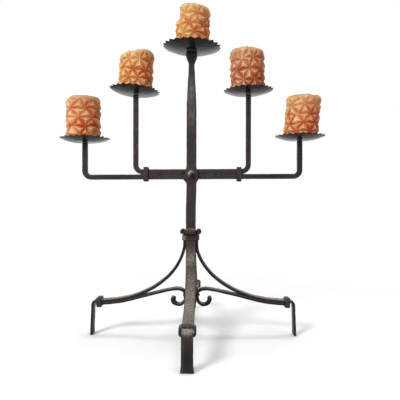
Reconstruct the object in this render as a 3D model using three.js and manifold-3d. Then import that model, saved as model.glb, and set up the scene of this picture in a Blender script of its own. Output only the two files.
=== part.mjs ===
// A forged iron candelabra for five pillar candles.
// Millimetres, +Z up, origin on the floor below the post. The arms lie along X and the front faces -Y.
import * as THREE from 'three';
import { mergeVertices } from 'three/addons/utils/BufferGeometryUtils.js';
import Module from 'manifold-3d';

const wasm = await Module();
wasm.setup();

const degree = Math.PI / 180;
const bendSag = 0.2;
const bendTurn = 18;
const collarTurn = 24;

// Clearances
const seatGap = 0.3;
const collarGap = 0.35;
const collarSeam = 0.5;

// Iron stock
const postSize = 19;
const barSize = 9.5;
const strapWidth = 19;
const legThickness = 4.8;
const braceThickness = 4.8;
const collarWidth = 9.5;
const collarStock = 4.2;
const postCollarStock = 1.6;

// Post: straight shank, swollen eye where the bars pass, drawn neck and spread top
const postBottom = 60;
const eyeSwellX = 14;
const eyeSwellY = 12.8;
const eyeNarrowing = 2.6;
const eyeShoulderBelow = 9;
const eyeShoulderAbove = 7;
const drawnFrom = 441;
const neckBelowSeat = 24;
const neckWidth = 11.2;
const neckDepth = 12.8;
const spreadBelowSeat = 6;
const spreadWidth = 20.6;
const postTopWidth = 19;

// Arms: the outer arm is the lower bar, the inner arm lies on it
const outerArmBottom = 301;
const outerReach = 208;
const innerReach = 109;
const armShift = 0.9;
const armBendRadius = 15;
const armCollarBeforeBend = 4;
const armCollarShift = 2;
const armCollarCorner = 0.7;
const crossRivetRadius = 3.4;
const crossRivetHead = 7.4;
const crossRivetRise = 4.6;

// Legs, each forged to its own shape: leaves is how far below the collar it leaves the post, and lean is
// how far its foot leans sideways
const footReach = 193;
const kneeHeight = 64.5;
const legs = {
  front: { heading: 270, reach: footReach + 2, knee: kneeHeight - 2.1, leaves: 13, lean: 0 },
  back: { heading: 89.3, reach: footReach - 2, knee: kneeHeight + 1.5, leaves: 13, lean: 11 },
  left: { heading: 180, reach: footReach - 2.6, knee: kneeHeight + 0.3, leaves: 10, lean: 0 },
  right: { heading: 0, reach: footReach + 4.3, knee: kneeHeight + 0.5, leaves: 17, lean: 0 },
};
const kneeRadius = 7;
const kneeRun = 19;
const kneeFall = 1;
const footSplay = 2;
const toeWidth = 21.7;
const toeLength = 12;
const postCollarHeight = 188.4;
const postCollarCorner = 5.5;
const sweepTopHandle = 28;
const sweepKneeHandle = 125;
const sweepKneeRise = 4.6;
const curlAboveCollar = 10.6;
const curlRadius = 3.4;
const curlStandOff = 6.9;
const curlTip = 3.8;
const curlTaper = 30;

// Braces below the legs
const partingReach = 118;
const braceOverrun = 1;
const humpReach = 28;
const humpHeight = 89;
const humpHandle = 0.7;
const meetHandle = 0.45;
const braceContactTop = 79;
const scrollHeight = 70.3;
const scrollRadius = 11.8;
const scrollRise = 18;
const scrollTip = 8.4;
const scrollTaper = 22;
const braceRivetRadius = 2;
const braceRivetHead = 3.3;
const braceRivetRise = 1.8;
const braceRivetSeat = 0.5;
const braceRivetHeight = { x: 76.8, y: 72.2 };
const footCollarFromKnee = 12.2;
const footCollarCorner = 1;

// Pans
const sheet = 1.8;
const panFlat = 12;
const toothDepth = 4.6;
const panSizes = {
  small: { radius: 49, depth: 9, teeth: 23 },
  large: { radius: 57.4, depth: 11, teeth: 24 },
};

// Prickets: a tenon in the bar's end, a flange that clamps the pan, and a spike
const tenonRadius = 2.4;
const tenonLength = 12;
const tenonRelief = 1;
const flangeRadius = 5.6;
const flangeThickness = 1.4;
const flangeChamfer = 0.5;
const spikeLength = 24;
const spikeRadius = 2.8;
const spikeTip = 0.5;
const pricketSides = 10;

// Candles: pillars carved with three-sided pyramids whose grooves cross in stars
const candleRadius = 35;
const carvingDepth = 2.6;
const carvingColumns = 9;
const candleShoulder = 5;
const crestRadius = 27;
const crestThickness = 4;
const crestFall = 2;
const poolRadius = 13;
const poolDepth = 9;
const wickRadius = 0.9;
const wickHold = 8;
const wickShown = 6;

// Seats are the heights of the bars' ends. Tilts turn a pan about Y and lean is the candle's own, both
// positive where the right side goes down. A nod lifts the pan's front. A pan and a candle lie a little
// to one side of the spike.
// The low side of a melted top and a candle's turn are angles from +X seen from above.
const centreSeat = 546;
const innerSeatBelow = 82.2;
const outerSeatBelow = 172.5;
const innerSeat = centreSeat - innerSeatBelow;
const outerSeat = centreSeat - outerSeatBelow;
const lights = {
  outer_left: {
    x: -outerReach + armShift,
    seat: outerSeat - 2.5,
    tilt: 0.3,
    nod: 0,
    pan: panSizes.small,
    panSide: 0,
    candleSide: -3.4,
    height: 84,
    lean: -0.3,
    drop: 3,
    low: -20,
    rows: 5,
    turn: 29,
  },
  inner_left: {
    x: -innerReach + armShift,
    seat: innerSeat,
    tilt: 4.6,
    nod: 2.5,
    pan: panSizes.small,
    panSide: -2.6,
    candleSide: -2.4,
    height: 78,
    lean: -1.6,
    drop: 15,
    low: 180,
    rows: 5,
    turn: 37,
  },
  centre: {
    x: 0,
    seat: centreSeat,
    tilt: 1.9,
    nod: 0,
    pan: panSizes.large,
    panSide: 0,
    candleSide: 0.8,
    height: 81.5,
    lean: -0.4,
    drop: 2,
    low: 0,
    rows: 4,
    turn: 22,
    chip: 8,
  },
  inner_right: {
    x: innerReach + armShift,
    seat: innerSeat,
    tilt: -1.5,
    nod: 0,
    pan: panSizes.small,
    panSide: 0.4,
    candleSide: -1,
    height: 81.5,
    lean: 0.2,
    drop: 2,
    low: 0,
    rows: 4,
    turn: 11,
  },
  outer_right: {
    x: outerReach + armShift,
    seat: outerSeat + 2,
    tilt: -0.3,
    nod: 0,
    pan: panSizes.small,
    panSide: 0.6,
    candleSide: 1.4,
    height: 81,
    lean: 5.1,
    drop: 2,
    low: 0,
    rows: 5,
    turn: 4,
  },
};
const chipHeading = 180;
const chipFrom = 50;
const chipStep = 6;
const chipWidth = 50;
const chipSteepness = 3;

// Spilled wax on the high edge of the inner left pan
const spillRadius = 5.6;
const spillHeight = 5.5;
const spillOutward = 0.4;
const spillHeading = 180;

const barGap = seatGap;
const innerArmBottom = outerArmBottom + barSize + barGap;
const armsTop = innerArmBottom + barSize;
const armsMiddle = (outerArmBottom + armsTop) / 2;
const armCollarReach = innerReach - armBendRadius - armCollarBeforeBend;
const legLine = postSize / 2 + seatGap + legThickness / 2;
const braceLine = postSize / 2 + seatGap + braceThickness / 2;

const iron = new THREE.MeshStandardMaterial({ color: 0x463c39, roughness: 0.55, metalness: 0.75 });
const sheetIron = new THREE.MeshStandardMaterial({ color: 0x55585c, roughness: 0.38, metalness: 0.85 });
const wax = new THREE.MeshStandardMaterial({ color: 0xe39a6a, roughness: 0.5, metalness: 0 });
const paleWax = new THREE.MeshStandardMaterial({ color: 0xeed3b0, roughness: 0.5, metalness: 0 });
const cotton = new THREE.MeshStandardMaterial({ color: 0x2c2420, roughness: 0.95, metalness: 0 });

const candelabra = new THREE.Group();

function addPiece(group, name, geometry, material) {
  const mesh = new THREE.Mesh(geometry, material);
  mesh.name = name;
  group.add(mesh);
}

// Two triangles for each side of the band between two rings, given where each ring's points start
function band(faces, near, far, count) {
  for (let i = 0; i < count; i += 1) {
    const next = (i + 1) % count;
    faces.push(near + next, near + i, far + i);
    faces.push(near + next, far + i, far + next);
  }
}

function indexed(points, faces) {
  const geometry = new THREE.BufferGeometry().setFromPoints(points);
  geometry.setIndex(faces);
  geometry.computeVertexNormals();
  return geometry;
}

// Skins a run of rings, each with the same number of points, and closes it at both ends or on itself
function loft(rings, joined = false) {
  const count = rings[0].length;
  const points = rings.flat();
  const faces = [];
  const spans = joined ? rings.length : rings.length - 1;
  for (let ring = 0; ring < spans; ring += 1) {
    band(faces, ring * count, ((ring + 1) % rings.length) * count, count);
  }
  if (!joined) {
    const last = (rings.length - 1) * count;
    points.push(middleOf(rings[0]));
    points.push(middleOf(rings[rings.length - 1]));
    for (let i = 0; i < count; i += 1) {
      const next = (i + 1) % count;
      faces.push(points.length - 2, i, next);
      faces.push(points.length - 1, last + next, last + i);
    }
  }
  return indexed(points, faces);
}

function middleOf(points) {
  const sum = new THREE.Vector3();
  points.forEach((point) => sum.add(point));
  return sum.divideScalar(points.length);
}

function asSolid(geometry) {
  const bare = geometry.clone();
  bare.deleteAttribute('normal');
  bare.deleteAttribute('uv');
  const merged = mergeVertices(bare, 1e-4);
  const vertProperties = Float32Array.from(merged.attributes.position.array);
  const triVerts = Uint32Array.from(merged.index.array);
  return new wasm.Manifold(new wasm.Mesh({ numProp: 3, vertProperties, triVerts }));
}

function cut(geometry, ...tools) {
  let rest = asSolid(geometry);
  tools.forEach((tool) => {
    rest = rest.subtract(asSolid(tool));
  });
  const mesh = rest.getMesh();
  const result = new THREE.BufferGeometry();
  result.setAttribute('position', new THREE.BufferAttribute(mesh.vertProperties, 3));
  result.setIndex(new THREE.BufferAttribute(mesh.triVerts, 1));
  result.computeVertexNormals();
  return result;
}

// A drill of the given radius along one axis, centred on a point
function drill(radius, length, axis, at, sides = 12) {
  const geometry = new THREE.CylinderGeometry(radius, radius, length, sides);
  if (axis === 'x') geometry.rotateZ(Math.PI / 2);
  if (axis === 'z') geometry.rotateX(Math.PI / 2);
  return geometry.translate(at.x, at.y, at.z);
}

// Turns a profile of [radius, height] pairs about Z
function turned(profile, sides) {
  const points = profile.map(([radius, height]) => new THREE.Vector2(radius, height));
  return new THREE.LatheGeometry(points, sides).rotateX(Math.PI / 2);
}

// Runs a flat path straight to a corner and round it, towards the next point
function bendAt(path, corner, radius, next) {
  const from = corner.clone().sub(path.currentPoint).normalize();
  const to = next.clone().sub(corner).normalize();
  const side = Math.sign(from.cross(to));
  const turn = Math.acos(from.dot(to));
  const start = corner.clone().addScaledVector(from, -radius * Math.tan(turn / 2));
  const centre = new THREE.Vector2(-from.y, from.x).multiplyScalar(side * radius).add(start);
  const angle = start.clone().sub(centre).angle();
  path.lineTo(start.x, start.y);
  path.absarc(centre.x, centre.y, radius, angle, angle + side * turn, side < 0);
}

// Stations along a flat path, closer together where it bends
function stationsAlong(path, widestTurn = bendTurn) {
  const stations = [];
  let along = 0;
  path.curves.forEach((curve) => {
    const length = curve.getLength();
    if (length < 1e-6) return;
    const samples = curve.getPoints(24);
    let turn = 0;
    for (let i = 2; i < samples.length; i += 1) {
      const before = samples[i - 1].clone().sub(samples[i - 2]);
      const after = samples[i].clone().sub(samples[i - 1]);
      turn += Math.abs(Math.atan2(before.cross(after), before.dot(after)));
    }
    const byTurn = Math.ceil(turn / (widestTurn * degree));
    const bySag = Math.ceil(Math.sqrt((length * turn) / (8 * bendSag)));
    const steps = Math.max(1, byTurn, bySag);
    for (let i = stations.length ? 1 : 0; i <= steps; i += 1) {
      const tangent = curve.getTangent(i / steps);
      stations.push({
        point: curve.getPoint(i / steps),
        across: new THREE.Vector2(-tangent.y, tangent.x),
        along: along + (length * i) / steps,
      });
    }
    along += length;
  });
  return stations;
}

// Four corners of a bar's section: the path lies in the XZ plane and the width along Y
function barSection(station, thickness, width) {
  const corners = [[1, 1], [-1, 1], [-1, -1], [1, -1]];
  return corners.map(([side, edge]) => {
    const inPlane = station.across.clone().multiplyScalar((side * thickness) / 2).add(station.point);
    return new THREE.Vector3(inPlane.x, (edge * width) / 2, inPlane.y);
  });
}

// A strip wrapped round a stack of the given half sizes, its ends meeting at the middle of one side
function wrappedCollar(halfAcross, halfUp, stock, innerCorner) {
  const u = halfAcross + stock / 2;
  const v = halfUp + stock / 2;
  const radius = innerCorner + stock / 2;
  const corners = [[u, -v], [u, v], [-u, v], [-u, -v]].map(([x, y]) => new THREE.Vector2(x, y));
  const end = new THREE.Vector2(-collarSeam / 2, -v);
  const path = new THREE.Path();
  path.moveTo(collarSeam / 2, -v);
  corners.forEach((corner, i) => bendAt(path, corner, radius, corners[i + 1] ?? end));
  path.lineTo(end.x, end.y);
  const stations = stationsAlong(path, collarTurn);
  return loft(stations.map((station) => barSection(station, stock, collarWidth)));
}

// Rivet along Z with a dome at each end, the domes seated on faces at plus and minus halfGrip
function domedRivet(shankRadius, headRadius, rise, halfGrip, sides) {
  const sphere = (headRadius ** 2 + rise ** 2) / (2 * rise);
  const edge = Math.asin(headRadius / sphere);
  const steps = 3;
  const dome = [];
  for (let i = 0; i <= steps; i += 1) {
    const angle = (edge * i) / steps;
    dome.push([sphere * Math.sin(angle), halfGrip + rise - sphere * (1 - Math.cos(angle))]);
  }
  const under = dome.map(([radius, height]) => [radius, -height]);
  const shank = [[shankRadius, -halfGrip], [shankRadius, halfGrip]];
  return turned([...under, ...shank, ...dome.reverse()], sides);
}

// A pan's underside at a radius: flat in the middle, dished towards the rim
function dish(pan, radius) {
  const share = Math.max(0, radius - panFlat) / (pan.radius - panFlat);
  return pan.depth * share ** 2;
}

function barEndDrill(light) {
  const depth = tenonLength + seatGap + tenonRelief;
  const tool = drill(tenonRadius + seatGap, 2 * depth, 'z', new THREE.Vector3(), pricketSides);
  return tool.rotateX(-light.nod * degree).rotateY(light.tilt * degree).translate(light.x, 0, light.seat);
}

function makePost() {
  const half = postSize / 2;
  const top = lights.centre.seat;
  const stations = [
    [postBottom, half, half],
    [outerArmBottom - eyeShoulderBelow, half, half],
    [outerArmBottom, eyeSwellX, eyeSwellY],
    [armsTop, eyeSwellX - eyeNarrowing, eyeSwellY],
    [armsTop + eyeShoulderAbove, half, half],
    [drawnFrom, half, half],
    [top - neckBelowSeat, neckWidth / 2, neckDepth / 2],
    [top - spreadBelowSeat, spreadWidth / 2, spreadWidth / 2],
    [top, postTopWidth / 2, postTopWidth / 2],
  ];
  const rings = stations.map(([height, halfX, halfY]) => {
    const slope = height === top ? Math.tan(lights.centre.tilt * degree) : 0;
    const corners = [[-1, 1], [1, 1], [1, -1], [-1, -1]];
    return corners.map(([x, y]) => new THREE.Vector3(x * halfX, y * halfY, height - x * halfX * slope));
  });
  const mortiseHeight = armsTop - outerArmBottom + 2 * seatGap;
  const mortise = new THREE.BoxGeometry(4 * eyeSwellX, barSize + 2 * seatGap, mortiseHeight);
  mortise.translate(0, 0, armsMiddle);
  const middle = new THREE.Vector3(0, 0, armsMiddle);
  return cut(
    loft(rings),
    mortise,
    drill(crossRivetRadius + seatGap, 4 * eyeSwellY, 'y', middle),
    drill(braceRivetRadius + seatGap, 2 * postSize, 'x', new THREE.Vector3(0, 0, braceRivetHeight.x), 8),
    drill(braceRivetRadius + seatGap, 2 * postSize, 'y', new THREE.Vector3(0, 0, braceRivetHeight.y), 8),
    barEndDrill(lights.centre),
  );
}

// One bar bent up at both ends, each end cut to the tilt of its pan
function makeArm(left, right, bottom) {
  const middle = bottom + barSize / 2;
  const cornerLeft = new THREE.Vector2(left.x, middle);
  const cornerRight = new THREE.Vector2(right.x, middle);
  const path = new THREE.Path();
  path.moveTo(left.x, left.seat);
  bendAt(path, cornerLeft, armBendRadius, cornerRight);
  bendAt(path, cornerRight, armBendRadius, new THREE.Vector2(right.x, right.seat));
  path.lineTo(right.x, right.seat);
  const stations = stationsAlong(path);
  const ends = [[stations[0], left], [stations[stations.length - 1], right]];
  ends.forEach(([station, light]) => {
    station.across.y = -station.across.x * Math.tan(light.tilt * degree);
  });
  const rings = stations.map((station) => barSection(station, barSize, barSize));
  const endRings = [[rings[0], left], [rings[rings.length - 1], right]];
  endRings.forEach(([ring, light]) => ring.forEach((point) => {
    point.z -= point.y * Math.tan(light.nod * degree);
  }));
  const rivetHole = drill(crossRivetRadius + seatGap, 4 * barSize, 'y', new THREE.Vector3(0, 0, armsMiddle));
  return cut(loft(rings), rivetHole, barEndDrill(left), barEndDrill(right));
}

// The leg's centre line from the tip of its curl down to the floor, in its own plane
function legPath(leg) {
  const kneeStart = new THREE.Vector2(leg.reach - kneeRun, leg.knee + kneeFall);
  const knee = new THREE.Vector2(leg.reach, leg.knee);
  const toe = new THREE.Vector2(leg.reach + footSplay, 0);
  const curlReach = postSize / 2 + curlStandOff;
  const path = new THREE.Path();
  const curlHeight = postCollarHeight + curlAboveCollar;
  const sweepTop = postCollarHeight - leg.leaves;
  path.absarc(curlReach, curlHeight, curlRadius, -85 * degree, 180 * degree, false);
  path.lineTo(legLine, postCollarHeight + collarWidth / 2);
  path.lineTo(legLine, sweepTop);
  path.bezierCurveTo(
    legLine,
    sweepTop - sweepTopHandle,
    kneeStart.x - sweepKneeHandle,
    kneeStart.y + sweepKneeRise,
    kneeStart.x,
    kneeStart.y,
  );
  bendAt(path, knee, kneeRadius, toe);
  path.lineTo(toe.x, toe.y + toeLength);
  path.lineTo(toe.x, toe.y);
  return path;
}

function makeLeg(stations, leg) {
  const total = stations[stations.length - 1].along;
  const rings = stations.map((station) => {
    const grown = THREE.MathUtils.smoothstep(station.along, 0, curlTaper);
    const thickness = THREE.MathUtils.lerp(curlTip, legThickness, grown);
    const spread = THREE.MathUtils.smoothstep(station.along, total - toeLength, total);
    const aside = leg.lean * Math.max(0, 1 - station.point.y / (leg.knee - kneeRadius));
    const section = barSection(station, thickness, THREE.MathUtils.lerp(strapWidth, toeWidth, spread));
    return section.map((corner) => corner.setY(corner.y + aside));
  });
  return loft(rings);
}

// The stations of a leg between the place where its brace meets it and its knee
function sharedRun(legStations, leg) {
  const end = leg.reach - kneeRadius + braceOverrun;
  return legStations.filter(({ point }) => point.x > partingReach && point.x < end && point.y > leg.knee);
}

// The brace runs below the leg, humps up, comes down the post's face and ends in a scroll
function makeBrace(legStations, leg, rivetAxis) {
  const drop = -(legThickness / 2 + seatGap + braceThickness / 2);
  const below = sharedRun(legStations, leg).map((station) => ({
    ...station,
    point: station.point.clone().addScaledVector(station.across, drop),
  }));
  const meet = below[0];
  const along = new THREE.Vector2(meet.across.y, -meet.across.x);
  const handle = meet.point.clone().addScaledVector(along, -meetHandle * (meet.point.x - humpReach));
  const path = new THREE.Path();
  const scrollReach = braceLine + scrollRadius;
  path.absarc(scrollReach, scrollHeight, scrollRadius, scrollRise * degree, -180 * degree, true);
  path.lineTo(braceLine, braceContactTop);
  path.bezierCurveTo(
    braceLine,
    braceContactTop + 0.6 * (humpHeight - braceContactTop),
    braceLine + 0.4 * (humpReach - braceLine),
    humpHeight,
    humpReach,
    humpHeight,
  );
  path.bezierCurveTo(
    humpReach + humpHandle * (humpReach - braceLine),
    humpHeight,
    handle.x,
    handle.y,
    meet.point.x,
    meet.point.y,
  );
  const rings = [...stationsAlong(path), ...below.slice(1)].map((station) => {
    const drawn = THREE.MathUtils.smoothstep(station.along, 0, scrollTaper);
    return barSection(station, THREE.MathUtils.lerp(scrollTip, braceThickness, drawn), strapWidth);
  });
  const hole = drill(braceRivetRadius + seatGap, 3 * braceThickness, 'x', new THREE.Vector3(
    braceLine,
    0,
    braceRivetHeight[rivetAxis],
  ), 8);
  return cut(loft(rings), hole);
}

// The collar just inside the knee holds the leg and its brace together
function makeFootCollar(leg) {
  const stack = legThickness + seatGap + braceThickness;
  const slope = Math.atan2(kneeFall, kneeRun);
  const halfAcross = strapWidth / 2 + collarGap;
  const geometry = wrappedCollar(halfAcross, stack / 2 + collarGap, collarStock, footCollarCorner);
  geometry.rotateZ(Math.PI / 2);
  geometry.translate(0, 0, legThickness / 2 - stack / 2);
  geometry.rotateY(slope);
  const height = leg.knee + (kneeFall * footCollarFromKnee) / kneeRun;
  return geometry.translate(leg.reach - footCollarFromKnee, 0, height);
}

function makePostCollar() {
  const half = legLine + legThickness / 2 + collarGap;
  const geometry = wrappedCollar(half, half, postCollarStock, postCollarCorner);
  return geometry.rotateX(Math.PI / 2).translate(0, 0, postCollarHeight);
}

function makeArmCollar(x) {
  const halfUp = (armsTop - outerArmBottom) / 2 + collarGap;
  const geometry = wrappedCollar(barSize / 2 + collarGap, halfUp, collarStock, armCollarCorner);
  return geometry.rotateZ(Math.PI / 2).translate(x, 0, armsMiddle);
}

// A dished pan whose rim is cut into pointed teeth, its underside at height seatGap
function makePan(light) {
  const pan = light.pan;
  const sectors = 2 * pan.teeth;
  const holeRadius = tenonRadius + seatGap;
  const radii = [holeRadius, panFlat, (panFlat + candleRadius) / 2, candleRadius, pan.radius];
  const ring = (radius, lift) => {
    const points = [];
    for (let i = 0; i < sectors; i += 1) {
      const angle = (2 * Math.PI * i) / sectors;
      const atRim = radius === pan.radius;
      const reach = atRim && i % 2 === 1 ? radius - toothDepth : radius;
      const height = seatGap + dish(pan, reach) + lift;
      const side = radius === holeRadius ? 0 : light.panSide;
      points.push(new THREE.Vector3(side + reach * Math.cos(angle), reach * Math.sin(angle), height));
    }
    return points;
  };
  const top = radii.map((radius) => ring(radius, sheet));
  const underside = radii.map((radius) => ring(radius, 0)).reverse();
  return loft([...top, ...underside], true);
}

function flangeTop() {
  return seatGap + sheet + seatGap + flangeThickness;
}

function makePricket() {
  const flangeBottom = seatGap + sheet + seatGap;
  const top = flangeTop();
  return turned([
    [0, -tenonLength],
    [tenonRadius, -tenonLength],
    [tenonRadius, flangeBottom],
    [flangeRadius, flangeBottom],
    [flangeRadius, top - flangeChamfer],
    [spikeRadius, top],
    [spikeTip, top + spikeLength],
    [0, top + spikeLength + spikeTip],
  ], pricketSides);
}

// A candle stands on its lower edge, which lies inside the carving's peaks
function candleBase(light) {
  const pan = light.pan;
  const slope = (dish(pan, pan.radius) - dish(pan, candleRadius)) / (pan.radius - candleRadius);
  const outside = Math.max(0, Math.abs(light.candleSide - light.panSide) - carvingDepth);
  return seatGap + dish(pan, candleRadius) + slope * outside + sheet + seatGap;
}

// Angle between two headings, from 0 to 1 as they go from equal to opposite
function apart(angle, heading) {
  return (1 - Math.cos(angle - heading * degree)) / 2;
}

function makeCandle(light) {
  const sectors = 2 * carvingColumns;
  const core = candleRadius - carvingDepth;
  const base = candleBase(light);
  const lean = Math.tan(light.lean * degree);
  const rim = (angle) => light.height - light.drop * (1 - apart(angle, light.low));
  const chipped = (angle, height) => {
    const nearness = Math.cos(angle - chipHeading * degree) - Math.cos(chipWidth * degree);
    const up = THREE.MathUtils.smoothstep(height, chipFrom, chipFrom + chipStep);
    return (light.chip ?? 0) * up * THREE.MathUtils.clamp(chipSteepness * nearness, 0, 1);
  };
  const place = (index, radius, heightOf) => {
    const angle = light.turn * degree + (2 * Math.PI * index) / sectors;
    const height = heightOf(angle);
    const reach = radius - chipped(angle, height);
    const x = light.candleSide + reach * Math.cos(angle) + height * lean;
    return new THREE.Vector3(x, reach * Math.sin(angle), base + height);
  };
  const ring = (radius, heightOf) => Array.from({ length: sectors }, (_, i) => place(i, radius, heightOf));
  const carved = (row) => (angle) => (row / light.rows) * (rim(angle) - candleShoulder);
  const crown = [
    ring(poolRadius, () => light.height - light.drop - poolDepth),
    ring(crestRadius - crestThickness, (angle) => rim(angle) - crestFall),
    ring(crestRadius, rim),
  ];
  const points = crown.flat();
  for (let row = light.rows; row >= 0; row -= 1) points.push(...ring(core, carved(row)));
  const faces = [];
  crown.forEach((_, i) => band(faces, i * sectors, (i + 1) * sectors, sectors));
  for (let row = 0; row < light.rows; row += 1) {
    const upper = (crown.length + light.rows - row - 1) * sectors;
    const lower = upper + sectors;
    for (let i = 0; i < sectors; i += 1) {
      const left = (i + sectors - 1) % sectors;
      const right = (i + 1) % sectors;
      const pointsUp = (i + row) % 2 === 1;
      const corners = pointsUp
        ? [lower + left, lower + i, lower + right, upper + i]
        : [lower + i, upper + right, upper + i, upper + left];
      const peak = points.push(place(i, candleRadius, carved(row + (pointsUp ? 1 / 3 : 2 / 3)))) - 1;
      corners.forEach((corner, k) => faces.push(corner, corners[(k + 1) % corners.length], peak));
    }
  }
  const bottom = (crown.length + light.rows) * sectors;
  const poolMiddle = points.push(middleOf(crown[0])) - 1;
  const bottomMiddle = points.push(middleOf(points.slice(bottom, bottom + sectors))) - 1;
  for (let i = 0; i < sectors; i += 1) {
    const next = (i + 1) % sectors;
    faces.push(poolMiddle, i, next);
    faces.push(bottomMiddle, bottom + next, bottom + i);
  }
  const spikeEnd = flangeTop() + spikeLength + spikeTip;
  const bore = turned([
    [0, 0],
    [spikeRadius + seatGap, 0],
    [spikeRadius + seatGap, flangeTop()],
    [spikeTip + seatGap, spikeEnd],
    [0, spikeEnd + 2 * seatGap],
  ], pricketSides);
  const pool = wickFoot(light);
  const wickLine = new THREE.Vector3(pool.x, 0, pool.z + wickHold);
  return cut(indexed(points, faces), bore, drill(wickRadius + seatGap, 2 * wickHold, 'z', wickLine, 8));
}

// Where the wick's lower end stands in the candle
function wickFoot(light) {
  const pool = light.height - light.drop - poolDepth;
  const lean = Math.tan(light.lean * degree);
  return new THREE.Vector3(light.candleSide + pool * lean, 0, candleBase(light) + pool - wickHold);
}

function makeWick(light) {
  const foot = wickFoot(light);
  const length = wickHold + wickShown - seatGap;
  const middle = new THREE.Vector3(foot.x, 0, foot.z + seatGap + length / 2);
  return drill(wickRadius, length, 'z', middle, 6);
}

// A low dome of wax lying on the sloping edge of a pan
function makeSpill(light) {
  const pan = light.pan;
  const from = dish(pan, candleRadius);
  const slope = Math.atan2(dish(pan, pan.radius) - from, pan.radius - candleRadius);
  const reach = (candleRadius + pan.radius) / 2 + spillOutward;
  const height = from + (reach - candleRadius) * Math.tan(slope) + seatGap + sheet;
  const profile = [[0, 0], [spillRadius, 0]];
  for (let angle = 30; angle < 90; angle += 30) {
    profile.push([spillRadius * Math.cos(angle * degree), spillHeight * Math.sin(angle * degree)]);
  }
  profile.push([0, spillHeight]);
  const dome = turned(profile, 12).translate(0, 0, 2 * seatGap);
  dome.rotateY(-slope).translate(reach, 0, height).rotateZ(spillHeading * degree);
  return dome.translate(light.panSide, 0, 0);
}

addPiece(candelabra, 'post', makePost(), iron);
addPiece(candelabra, 'outer_arm', makeArm(lights.outer_left, lights.outer_right, outerArmBottom), iron);
addPiece(candelabra, 'inner_arm', makeArm(lights.inner_left, lights.inner_right, innerArmBottom), iron);
addPiece(candelabra, 'arm_collar_left', makeArmCollar(armCollarShift - armCollarReach), iron);
addPiece(candelabra, 'arm_collar_right', makeArmCollar(armCollarShift + armCollarReach), iron);
addPiece(candelabra, 'post_collar', makePostCollar(), iron);

// The dome of the cross rivet sits on the swollen eye's flat front and back
const crossRivet = domedRivet(crossRivetRadius, crossRivetHead, crossRivetRise, eyeSwellY + seatGap, 14);
crossRivet.rotateX(Math.PI / 2).translate(0, 0, armsMiddle);
addPiece(candelabra, 'cross_rivet', crossRivet, iron);

const braceGrip = braceLine + braceThickness / 2 + braceRivetSeat;
const sideRivet = domedRivet(braceRivetRadius, braceRivetHead, braceRivetRise, braceGrip, 8);
sideRivet.rotateY(Math.PI / 2).translate(0, 0, braceRivetHeight.x);
addPiece(candelabra, 'brace_rivet_side', sideRivet, iron);
const frontRivet = domedRivet(braceRivetRadius, braceRivetHead, braceRivetRise, braceGrip, 8);
frontRivet.rotateX(Math.PI / 2).translate(0, 0, braceRivetHeight.y);
addPiece(candelabra, 'brace_rivet_front', frontRivet, iron);

Object.entries(legs).forEach(([side, leg]) => {
  const quarter = new THREE.Group();
  quarter.rotation.z = leg.heading * degree;
  candelabra.add(quarter);
  const stations = stationsAlong(legPath(leg));
  const rivetAxis = side === 'front' || side === 'back' ? 'y' : 'x';
  addPiece(quarter, `leg_${side}`, makeLeg(stations, leg), iron);
  addPiece(quarter, `brace_${side}`, makeBrace(stations, leg, rivetAxis), iron);
  addPiece(quarter, `foot_collar_${side}`, makeFootCollar(leg), iron);
});

Object.entries(lights).forEach(([place, light]) => {
  const stand = new THREE.Group();
  stand.position.set(light.x, 0, light.seat);
  stand.rotation.set(-light.nod * degree, light.tilt * degree, 0, 'YXZ');
  candelabra.add(stand);
  addPiece(stand, `pan_${place}`, makePan(light), sheetIron);
  addPiece(stand, `pricket_${place}`, makePricket(), iron);
  addPiece(stand, `candle_${place}`, makeCandle(light), wax);
  addPiece(stand, `wick_${place}`, makeWick(light), cotton);
  if (place === 'inner_left') addPiece(stand, 'wax_spill', makeSpill(light), paleWax);
});

export default candelabra;
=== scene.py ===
import itertools
import math
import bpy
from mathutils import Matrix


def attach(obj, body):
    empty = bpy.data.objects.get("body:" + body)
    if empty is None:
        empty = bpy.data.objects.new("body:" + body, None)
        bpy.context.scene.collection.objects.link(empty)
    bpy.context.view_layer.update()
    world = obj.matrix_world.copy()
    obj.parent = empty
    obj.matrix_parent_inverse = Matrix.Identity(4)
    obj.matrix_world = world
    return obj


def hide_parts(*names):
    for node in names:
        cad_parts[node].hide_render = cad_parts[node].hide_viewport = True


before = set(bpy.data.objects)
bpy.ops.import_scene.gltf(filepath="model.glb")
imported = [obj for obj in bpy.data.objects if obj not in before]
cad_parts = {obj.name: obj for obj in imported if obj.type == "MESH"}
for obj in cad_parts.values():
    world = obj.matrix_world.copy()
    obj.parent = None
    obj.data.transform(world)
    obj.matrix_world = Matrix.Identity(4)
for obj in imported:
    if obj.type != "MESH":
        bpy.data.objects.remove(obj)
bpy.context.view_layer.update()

from types import SimpleNamespace as Spec

import bmesh
import bpy
import numpy as np
from mathutils import Matrix, Vector

scene = bpy.context.scene
MM = 0.001
TAU = 2 * math.pi
BEZIER_STEPS = 90
WAVES = 5  # in each octave of the noise


def shift(x, y, z):
    return Matrix.Translation((x, y, z))


def spin(degrees, axis):
    return Matrix.Rotation(math.radians(degrees), 4, axis)


def new_object(name, data):
    made = bpy.data.objects.new(name, data)
    scene.collection.objects.link(made)
    return made


# The camera, found from known points of the stand in the photo: m, degrees and pixels
CAMERA_AT = (0.0284, -0.8805, 0.2656)
CAMERA_YAW, CAMERA_PITCH, CAMERA_ROLL = 0.771, -0.317, 0.099
CAMERA_FOCAL, PHOTO_WIDTH, SENSOR_WIDTH = 453.85, 400, 36


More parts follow.
